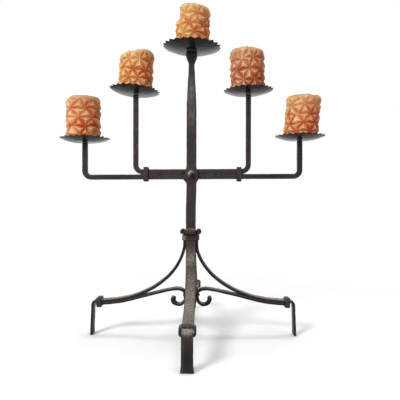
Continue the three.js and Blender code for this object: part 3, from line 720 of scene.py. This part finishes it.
# Legs and braces, each in its own plane through the post
def leg_line(leg):
    reach, knee, roll = leg.reach, leg.knee, leg.roll
    curl_at = (POST / 2 + CURL_STAND_OFF + roll, POST_COLLAR_HEIGHT + CURL_ABOVE_COLLAR + roll - leg.low)
    line = Line().arc(curl_at, roll, CURL_START, CURL_ROLLED, 36, CURL_START_RADIUS)
    line.arc(curl_at, roll, CURL_ROLLED, CURL_END, 40)
    leaves = POST_COLLAR_HEIGHT - leg.leaves
    knee_start = (reach - KNEE_RUN, knee + KNEE_FALL)
    line.to((LEG_LINE, POST_COLLAR_HEIGHT + COLLAR_WIDTH / 2)).to((LEG_LINE, leaves))
    line.bezier((LEG_LINE, leaves - SWEEP_TOP_HANDLE),
                (knee_start[0] - SWEEP_KNEE_HANDLE, knee_start[1] + SWEEP_KNEE_RISE), knee_start)
    foot = reach + FOOT_SPLAY
    return line.bend((reach, knee), KNEE_RADIUS, (foot, 0)).to((foot, TOE_LENGTH)).to((foot, 0))


def make_leg(side, seed):
    leg = LEGS[side]
    points, normals, run = leg_line(leg).even(0.9)
    free = ease(points[:, 1], 180, 168) * ease(points[:, 0], 116, 96)
    points -= normals * (LEG_EXTRA / 2 * free * ease(points[:, 1], 100, 120))[:, None]
    place, across, width = lift(points, normals, leg.heading)
    place += width * (leg.lean * np.maximum(0, 1 - points[:, 1] / (leg.knee - KNEE_RADIUS)))[:, None]
    thickness = np.interp(run, [0, 12, 19, 48], [3.0, 3.0, 3.8, STRAP]) + LEG_EXTRA * free
    toe = ease(run, run[-1] - 14, run[-1])
    corner = np.interp(run, [0, 30, run[-1]], [0.9, 1.35, 1.0])
    strap = sweep(f"leg_{side}_forged", (place, across, width), thickness / 2,
                  (STRAP_WIDTH + (TOE_WIDTH - STRAP_WIDTH) * toe) / 2, corner, seed, (2, 10), (0.24, 6))
    finish(strap, f"leg_{side}", IRON, bowed=True, strap=leg.heading)


def brace_line(leg):
    """The scroll, the rise to the post, the hump, and the stretch that lies along the leg's underside."""
    points, normals, _ = leg_line(leg).even(1.0, ends=False)
    before_knee = (points[:, 0] < leg.reach - KNEE_RADIUS + 1) & (points[:, 1] > leg.knee)
    shared = (points[:, 0] > PARTING_REACH) & before_knee
    below = points[shared] - normals[shared] * (STRAP + GAP)
    meet, normal = below[0], normals[shared][0]
    handle = meet - np.array([normal[1], -normal[0]]) * MEET_HANDLE * (meet[0] - HUMP_REACH)
    hump = HUMP_REACH - LEG_LINE
    line = Line().arc((LEG_LINE + SCROLL_RADIUS, SCROLL_HEIGHT), SCROLL_RADIUS, SCROLL_RISE, -180, 60)
    line.to((LEG_LINE, BRACE_TOP))
    line.bezier((LEG_LINE, BRACE_TOP + 6), (LEG_LINE + 0.4 * hump, HUMP_HEIGHT), (HUMP_REACH, HUMP_HEIGHT))
    line.bezier((HUMP_REACH + HUMP_HANDLE * hump, HUMP_HEIGHT), handle, meet)
    for point in below[1:]:
        line.to(point)
    return line


def make_brace(side, seed):
    leg = LEGS[side]
    tip = leg.tip
    points, normals, run = brace_line(leg).even(1.5)
    rounded = np.sqrt(np.clip(1 - (1 - run / (tip / 2)) ** 2 * (run < tip / 2), 0.15, 1))
    half_a = (tip + (STRAP - tip) * ease(run, 0, SCROLL_TAPER)) / 2 * rounded
    points -= normals * ((tip - SCROLL_TIP) * 0.5 * ease(run, 14, 0))[:, None]
    brace = sweep(f"brace_{side}_forged", lift(points, normals, leg.heading), half_a,
                  STRAP_WIDTH / 2, np.interp(run, [0, 20], [1.9, 1.35]), seed, (2, 10), (0.24, 5))
    finish(brace, f"brace_{side}", IRON, strap=leg.heading)


# Collars: strips wrapped round the bars, their ends meeting on one side
def wrap(node, half_across, half_up, stock, inner, turn, seed):
    u, v = half_across + COLLAR_GAP + stock / 2, half_up + COLLAR_GAP + stock / 2
    corners = [(u, -v), (u, v), (-u, v), (-u, -v)]
    line = Line().to((0.3, -v))
    for corner, ahead in zip(corners, corners[1:] + [(0, -v)]):
        line.bend(corner, inner + stock / 2, ahead)
    points, normals, run = line.to((-0.3, -v)).even(0.9)
    swell = 1 + 0.05 * waves(np.column_stack([points, run * 0]), 14, seed)
    place, across, width = lift(points, normals)
    rotation = turn.to_3x3().to_4x4()
    frames = moved(place, turn), moved(across, rotation), moved(width, rotation)
    collar = sweep(f"{node}_wrapped", frames, stock / 2 - 0.05, COLLAR_WIDTH / 2 * np.minimum(swell, 1.0),
                   min(1.5, stock / 2 - 0.15), seed, (2, 6), (0.2, 3.5), 1.2)
    finish(collar, node, IRON, bowed=True)


def make_collars():
    for (side, x), seed in zip(ARM_COLLARS.items(), (61, 67)):
        turn = shift(x, 0, ARMS_MIDDLE) @ spin(90, "Z")
        wrap(f"arm_collar_{side}", BAR / 2, (ARMS_TOP - ARM_BOTTOM) / 2, COLLAR_STOCK, ARM_COLLAR_CORNER, turn,
             seed)
    half = LEG_LINE + STRAP / 2
    turn = shift(0, 0, POST_COLLAR_HEIGHT) @ spin(90, "X")
    wrap("post_collar", half, half, POST_COLLAR_STOCK, POST_COLLAR_CORNER, turn, 71)
    stack = 2 * STRAP + GAP
    slope = KNEE_FALL / KNEE_RUN
    for k, (side, leg) in enumerate(LEGS.items()):
        turn = spin(leg.heading, "Z") @ shift(leg.reach - FOOT_COLLAR_FROM_KNEE, 0,
                                              leg.knee + FOOT_COLLAR_FROM_KNEE * slope)
        turn = turn @ spin(math.degrees(math.atan(slope)), "Y")
        turn = turn @ shift(0, 0, (STRAP - stack) / 2) @ spin(90, "Z")
        wrap(f"foot_collar_{side}", STRAP_WIDTH / 2, stack / 2, COLLAR_STOCK, FOOT_COLLAR_CORNER, turn, 80 + k)


# Rivets with hammered domes, lying along an axis at a height of the post
def make_rivet(node, size, height, axis, seed, sides=28):
    shank, head, rise, grip = size
    sphere = (head**2 + rise**2) / (2 * rise)
    angle = math.asin(head / sphere) * np.linspace(1, 0, 13)
    dome = zip(np.maximum(sphere * np.sin(angle), 0.02), grip + rise - sphere * (1 - np.cos(angle)))
    half = [(shank, grip), (head * 0.97, grip), *dome]
    points, faces = lathe([(r, -z) for r, z in half[::-1]] + half, sides)
    radius = np.linalg.norm(points[:, :2], axis=1)
    outward = points * [0.5, 0.5, 0] / np.maximum(radius, 0.1)[:, None]
    outward[:, 2] = np.sign(points[:, 2])
    outward = unit(outward)
    on_dome = np.abs(points[:, 2]) > grip + 0.05
    dents = hammer(points, outward, 0.4, head * 0.55, 0.32, seed)
    points -= outward * (dents * on_dome)[:, None]
    turn = shift(0, 0, height) @ spin(90, axis)
    layers = {"edge": np.clip(0.25 + dents * 1.5, 0, 1) * on_dome}
    build(node, "hammered", points, turn, faces, 45, layers, RIVET)


# Pans: dished sheet with a hammered underside and filed, slightly bent teeth
def dish(pan, radius):
    """How high a pan's underside stands at a radius."""
    share = np.maximum(0, radius - PAN_FLAT) / (pan.radius - PAN_FLAT)
    return pan.depth * share**2


def dish_slope(pan):
    """A pan's mean slope outside the candle."""
    return (dish(pan, pan.radius) - dish(pan, CANDLE_RADIUS)) / (pan.radius - CANDLE_RADIUS)


def make_pan(place, light, seed):
    pan, rim = light.pan, light.pan.radius
    source = np.random.default_rng(seed)
    index = np.arange(pan.teeth * TOOTH_STEPS)
    angle = angles(len(index))
    tooth = ((index + TOOTH_STEPS // 2) // TOOTH_STEPS) % pan.teeth
    share = index % TOOTH_STEPS / TOOTH_STEPS * 2
    share = np.minimum(share, 2 - share)
    short = source.uniform(0, 1.0, pan.teeth)[tooth]
    bent = source.uniform(-0.9, 0.5, pan.teeth)[tooth]
    reach = rim - 0.15 - short * (1 - share) - (TOOTH_DEPTH - short * 0.3) * share**0.92
    shares = np.concatenate([np.linspace(0, 0.8, 26), np.linspace(0.82, 0.97, 12), [0.985, 0.996, 1.0]])
    rounding = np.append(np.zeros(len(shares) - 3), [0.04, 0.16, 0.42])
    upper, lower = [], []
    for outward, rounded in zip(shares, rounding):
        radius = PAN_HOLE + (reach - PAN_HOLE) * outward
        tip = np.clip((radius - (rim - TOOTH_DEPTH - 1)) / (TOOTH_DEPTH + 1), 0, 1)
        height = GAP + dish(pan, radius) + bent * tip**2 * 0.8
        thickness = SHEET - 0.35 * np.clip((radius - rim + 8) / 8, 0, 1)
        flat = light.pan_side * ease(radius, 3, 12) + radius * np.cos(angle), radius * np.sin(angle)
        lower.append(np.column_stack([*flat, height + rounded]))
        upper.append(np.column_stack([*flat, height + thickness - rounded]))
    rings = upper + lower[::-1]
    points = np.vstack(rings)
    facing = np.repeat([1.0, -1.0], len(points) // 2)
    dents = hammer(points, np.outer(facing, [0, 0, 1]), 2.2, 9.0, 0.45, seed + 1)
    dents += 0.1 * (0.5 + 0.5 * waves(points, 24, seed + 2))
    radius = np.linalg.norm(points[:, :2], axis=1)
    points[:, 2] -= facing * dents * np.clip((radius - 9) / 6, 0, 1)
    edge = np.clip((radius - rim + 5.5) / 4, 0, 1)
    # A painted sheen on the underside, growing towards the back and weaker near the rim
    painted_sheen = ease(points[:, 1], -26, 12) * (facing < 0) * (1 - 0.5 * edge)
    faces = ring_faces(len(rings), len(index), True)
    layers = {"edge": edge, "painted_sheen": painted_sheen}
    build(f"pan_{place}", "dished", points, light.stand, faces, 48, layers, PAN)


def make_pricket(place, light):
    """A tenon in the bar's end, a flange that clamps the pan, and a spike."""
    top = FLANGE_TOP
    tenon = [(0.05, -TENON_LENGTH), (TENON_RADIUS - 0.4, -TENON_LENGTH), (TENON_RADIUS, 0.4 - TENON_LENGTH),
             (TENON_RADIUS, PRICKET_SEAT)]
    flange = [(FLANGE_RADIUS - 0.6, PRICKET_SEAT), (FLANGE_RADIUS, PRICKET_SEAT + 0.3),
              (FLANGE_RADIUS, top - 0.5), (FLANGE_RADIUS - 0.5, top)]
    spike = [(2.8, top + 0.1), (2.4, top + 4), (1.7, top + 12), (1.0, top + 20), (0.55, top + 23.6),
             (0.3, top + 24.3), (0.05, top + SPIKE_LENGTH)]
    points, faces = lathe(tenon + flange + spike, 28)
    edge = np.clip((points[:, 2] - top - 16) / 10, 0, 1)
    build(f"pricket_{place}", "turned", points, light.stand, faces, 40, {"edge": edge}, IRON)


# Candles: pillars carved with three-sided pyramids, their tops melted
def candle_base(light):
    """The height at which a candle's foot rests on its pan."""
    outside = max(0, abs(light.side - light.pan_side) - SEAT_CARVING)
    return GAP + dish(light.pan, CANDLE_RADIUS) + dish_slope(light.pan) * outside + SHEET + GAP


def pyramids(s, t, columns, seed):
    """Carving whose grooves run along three families of lines through the places with whole s and t.

    Gives the height from 0 in the grooves to 1 on the peaks, how near a ridge and how near a star, where six
    grooves meet, a point is, and a number from -1 to 1 for its pyramid.
    """
    a, b, c = t % 1, (s - t / 2) % 1, (-s - t / 2) % 1
    pointing_up = np.abs(a + b + c - 1) < 0.5
    shares = np.sort(np.where(pointing_up, [a, b, c], [1 - a, 1 - b, 1 - c]), axis=0)
    row = np.round(t)
    along = (s - row / 2) - np.round(s - row / 2)
    star = np.exp(-((along * 24.4) ** 2 + ((t - row) * 18) ** 2) / 4.5**2)
    label = np.floor(t) * 12.99 + (np.floor(s - t / 2) % columns) * 78.23 + pointing_up * 37.72 + seed
    tone = (np.sin(label) * 43758.5) % 1 * 2 - 1
    ridge = np.exp(-(((shares[1] - shares[0]) / 0.08) ** 2))
    return np.clip(3 * shares[0], 0, 1), ridge, star, tone


def make_candle(place, light, seed):
    base = candle_base(light)
    lean = math.tan(math.radians(light.lean))
    angle = angles(COLUMNS)
    cos, sin = np.cos(angle), np.sin(angle)
    heading = np.degrees(angle) - 270

    def turned(middle):
        return (heading - middle + 180) % 360 - 180

    def carving(height):
        spot = np.stack([32 * cos, 32 * sin, height], 1)
        s = (heading - light.star[0]) / 360 * light.columns
        t = (height - light.star[1]) / light.pitch
        bend = 0.2 * ease(np.abs(heading - light.star[0]) / 40 + np.abs(t) / 2, 0.1, 0.9)
        s = s + bend * waves(spot, 38, seed + 3)
        t = t + bend * waves(spot, 42, seed + 4)
        return *pyramids(s, t, light.columns, seed), spot

    def blot(height, middle, at, size):
        across = np.radians(turned(middle)) * CANDLE_RADIUS
        return np.exp(-(across**2 + (height - at) ** 2) / size**2)

    low_side = (1 + np.cos(angle - math.radians(light.low))) / 2
    around = np.stack([30 * cos, 30 * sin, 0 * cos], 1)
    rim = light.height - light.drop * low_side - 0.7 * (1 + waves(around, 26, seed, 3))
    for middle, change, width in light.rim:
        rim = rim + change * np.exp(-((turned(middle) / width) ** 2))
    rim = rim - 1.8 * (1 - carving(rim - 4)[0])
    pool = light.height - light.drop - POOL_DEPTH
    rings = []
    layers = {"relief": [], "melt": [], "tone": [], "rim": []}

    def add_ring(radius, height, carved=0.6, melted=1.0, tone=0.0, leans=True):
        x = radius * cos + (light.side + height * lean if leans else 0)
        rings.append(np.stack([x, radius * sin, base + height + 0 * cos], 1))
        values = (carved, melted, tone, ease(height, rim - 4.2, rim - 0.6))
        for layer, value in zip(layers.values(), values):
            layer.append(np.broadcast_to(value, COLUMNS))

    # Socket and underside
    spike_end = FLANGE_TOP + SPIKE_LENGTH
    for radius, height in ((0.04, spike_end + 0.6), (0.8, spike_end), (1.6, spike_end - 8), (2.9, base)):
        add_ring(radius, height - base, 0.2, 0.0, leans=False)
    for radius in (8, 16, 24, 28, 28.9):
        add_ring(radius, 0, melted=0.0)

    # Carved wall
    wall_top = rim - 5.5
    chipped = 3 * (np.cos(angle - math.radians(CHIP_HEADING)) - math.cos(math.radians(CHIP_WIDTH)))
    for k in range(WALL_STEPS + 1):
        height = wall_top * k / WALL_STEPS
        peak, ridge, star, tone, spot = carving(height)
        fade = 1 - 0.5 * ease(height, rim - 12, rim - 5)
        cut = waves(spot, 14, seed + 5)
        face = peak ** (0.95 + 0.15 * cut) * (0.9 + 0.1 * tone)
        shape = 0.93 * face + 0.3 * ridge * star + 0.04 * waves(spot, 6, seed + 6) - 0.1 * star
        foot = ease(height, 2.4, 0)
        radius = CANDLE_RADIUS - CARVING + CARVING * (np.clip(shape, -0.3, 1) * fade + 0.7 * (1 - fade))
        radius -= foot * np.maximum(0, radius - CANDLE_RADIUS + 1.6)
        if light.chip:
            taken = light.chip * ease(height, CHIP_FROM, CHIP_TO) * np.clip(chipped, 0, 1)
            radius = radius - taken * (0.94 + 0.06 * waves(spot, 9, seed + 8, 3))
            fade = fade * (1 - ease(taken, 0.5, 3))
        # Colour level: painted shade in the grooves and in patches at the star centres, painted highlights on
        # the peaks and ridges, and painted highlight and shade at the listed pale and deep spots
        shaded_patches = np.clip(waves(spot, 26, seed + 7) + 0.25, 0, 1)
        level = 0.22 + 0.45 * face + 0.3 * ridge * (0.3 + 0.7 * peak) + 0.14 * cut
        level = level - 0.5 * star * shaded_patches - 0.3 * shaded_patches * (1 - peak)
        for middle, at in light.pale:
            level = level + 0.65 * blot(height, middle, at, 7.5) * (0.3 + 0.7 * ridge)
        for middle, at in light.deep:
            level = level - 0.55 * blot(height, middle, at, 6) * (1.1 - face)
        level = np.maximum(np.clip(level, 0, 1), 0.8 * foot)
        melted = 0.8 * (1 - fade)
        add_ring(radius, height, level, melted, tone)

    # Rounded rim and melted pool
    crown = [(0.02, -4.9), (0.06, -4.1), (0.11, -3.2), (0.18, -2.2), (0.27, -1.2), (0.38, -0.4), (0.5, 0.0),
             (0.66, -0.15), (0.8, -0.6)]
    for share, fall in crown:
        add_ring(radius + (CREST_RADIUS - radius) * share, rim + fall, level,
                 np.maximum(melted, ease(share, 0.05, 0.4)), tone)
    for share in (0.12, 0.28, 0.45, 0.62, 0.78, 0.9, 0.97):
        radius = CREST_RADIUS - 0.5 + (POOL_RADIUS - CREST_RADIUS) * share
        sunk = ease(share, 0, 1)
        add_ring(radius, (rim - 1.3) * (1 - sunk) + pool * sunk)
    for radius in (11.5, 8, 4.5, 2, 0.04):
        add_ring(radius, pool - 0.1)

    points = np.vstack(rings)
    layers = {key: np.concatenate(values) for key, values in layers.items()}
    inward = 0.35 * layers["melt"] * (0.5 + 0.5 * waves(points, 9, seed + 9))
    radius = np.linalg.norm(points[:, :2], axis=1)
    points[:, :2] -= points[:, :2] * (inward / np.maximum(radius, 1))[:, None]
    # A painted shade, darker and redder towards the right side, is read from this
    layers["side"] = points[:, 0] / CANDLE_RADIUS
    layers["high"] = ease(points[:, 2] - base, 34, 80)
    layers["gold"], layers["red"] = np.full(len(points), light.gold), np.full(len(points), light.red)
    body = f"candle_{place}"
    faces = ring_faces(len(rings), COLUMNS)
    build(body, "carved", points, light.stand, faces, 62, layers, WAX, body)
    make_wick(place, light, base + pool, light.side + pool * lean)


def make_wick(place, light, pool_height, x):
    """Three twisted strands, burnt and a little curled at the top."""
    heights = np.linspace(0, WICK_LENGTH, 60)[:, None]
    ends = np.clip((WICK_LENGTH - heights) / 0.6, 0.02, 1)
    ends[0] = 0.02
    angle = angles(WICK_SIDES)
    strand = np.abs(np.sin(1.5 * (angle - heights * 0.9)))
    radius = WICK_RADIUS * ends * (0.72 + 0.28 * strand)
    middle = x + 0.35 * np.maximum(0, (heights - 9.0) / 4.6) ** 2
    z = np.broadcast_to(pool_height - WICK_HOLD + GAP + heights, radius.shape)
    points = np.stack([middle + radius * np.cos(angle), radius * np.sin(angle), z], 2).reshape(-1, 3)
    burnt = np.repeat(np.clip((heights - 10.4) / 1.6, 0, 1), WICK_SIDES)
    faces = ring_faces(len(heights), WICK_SIDES)
    build(f"wick_{place}", "braided", points, light.stand, faces, 70, {"burnt": burnt}, WICK,
          f"candle_{place}")


def make_spill():
    """A lumpy dome of wax on the sloping edge of the inner left pan."""
    light = LIGHTS["inner_left"]
    pan, sides = light.pan, 48
    reach = (CANDLE_RADIUS + pan.radius) / 2 + SPILL_OUTWARD
    slope = dish_slope(pan)
    height = dish(pan, CANDLE_RADIUS) + (reach - CANDLE_RADIUS) * slope + GAP + SHEET
    angle = angles(sides)
    uneven = 1 + np.sin(3 * angle + 0.8) * 0.6 + np.sin(5 * angle + 2.1) * 0.4
    rings = []
    for k in range(17):
        rise = math.radians(90 * k / 16)
        radius = (SPILL_RADIUS * math.cos(rise) + 0.04) * (1 - 0.09 * uneven * math.cos(rise))
        z = np.full(sides, SPILL_HEIGHT * math.sin(rise) ** 0.9)
        rings.append(np.stack([1.25 * radius * np.cos(angle), radius * np.sin(angle), z], 1))
    rings.insert(0, rings[0] * [0.02, 0.02, 1])
    points = np.vstack(rings)
    points[:, 2] -= 0.3 * (1 + waves(points, 5, 401)) * (points[:, 2] > 0.3)
    turn = light.stand @ shift(light.pan_side, 0, 0) @ spin(SPILL_HEADING, "Z")
    turn = turn @ shift(reach, 0, height) @ spin(-math.degrees(math.atan(slope)), "Y") @ shift(0, 0, 2 * GAP)
    layers = {"relief": np.full(len(points), 0.8), "melt": np.ones(len(points))}
    build("wax_spill", "lump", points, turn, ring_faces(len(rings), sides), 60, layers, SPILL)


make_post()
make_arm("outer", ARM_BOTTOM, OUTER_BEND, 23)
make_arm("inner", INNER_ARM_BOTTOM, INNER_BEND, 29)
make_collars()
make_rivet("cross_rivet", CROSS_RIVET, ARMS_MIDDLE, "X", 31, sides=40)
make_rivet("brace_rivet_side", BRACE_RIVET, BRACE_RIVET_HEIGHT["side"], "Y", 37)
make_rivet("brace_rivet_front", BRACE_RIVET, BRACE_RIVET_HEIGHT["front"], "X", 41)
for number, side in enumerate(LEGS):
    make_leg(side, 101 + 7 * number)
    make_brace(side, 151 + 7 * number)
for number, (place, light) in enumerate(LIGHTS.items()):
    make_pan(place, light, 201 + 11 * number)
    make_pricket(place, light)
    make_candle(place, light, 301 + 13 * number)
make_spill()


# Floor, world and lamps
def make_floor():
    """A round, pale floor just under the feet that fades out."""
    points, faces = lathe([(radius, -0.4) for radius in (1, 200, 500, 1000, 1600, 2400)], 96)
    floor = mesh_piece("floor", points, faces)
    look = Look("pale_floor")
    tone = look.ramp(look.noise(30, 3), [(0.3, (0.95, 0.95, 0.945)), (0.7, (0.975, 0.975, 0.97))])
    feed(tone, look.shader, "Base Color")
    settle(look.shader, Roughness=0.9, Specular_IOR_Level=0.1)
    distance = add(look.tree, "ShaderNodeVectorMath", operation="LENGTH")
    feed(look.place, distance, 0)
    blend = add(look.tree, "ShaderNodeMixShader")
    clear = add(look.tree, "ShaderNodeBsdfTransparent")
    fade = Signal(distance, "Value").spread(0.22, 0.7)
    for socket, value in enumerate((fade, Signal(look.shader), Signal(clear))):
        feed(value, blend, socket)
    feed(Signal(blend), look.tree.nodes["Material Output"], "Surface")
    floor.data.materials.append(look.made)


def make_world():
    """White all round, dimmer as a light than as the picture's background and in reflections."""
    world = bpy.data.worlds.new("studio")
    scene.world = world
    world.use_nodes = True
    path = add(world.node_tree, "ShaderNodeLightPath")
    seen = Signal(path, "Is Camera Ray")
    for ray in ("Is Glossy Ray", "Is Transmission Ray"):
        seen = seen.most(Signal(path, ray))
    background = settle(world.node_tree.nodes["Background"], Color=(1, 1, 1, 1))
    feed(seen.spread(0, 1, 0.36, 1.0), background, "Strength")


def make_lamp(name, place, target, size, power, colour):
    data = bpy.data.lights.new(name, "AREA")
    data.shape = "DISK"
    data.size = size
    data.energy = power
    data.color = colour
    aim = (Vector(target) - Vector(place)).to_track_quat("-Z", "Y")
    new_object(name, data).matrix_world = shift(*place) @ aim.to_matrix().to_4x4()


make_floor()
make_world()
make_lamp("key", (-1.3, -1.9, 1.7), (0, 0, 0.35), 0.8, 54, (1.0, 0.98, 0.95))
make_lamp("top", (0.2, 0.3, 2.4), (0, 0, 0), 1.4, 26, (1.0, 1.0, 1.0))
make_lamp("fill", (2.0, -1.6, 1.0), (0, 0, 0.35), 1.2, 14, (0.97, 0.98, 1.0))
scene.view_settings.view_transform = "Standard"
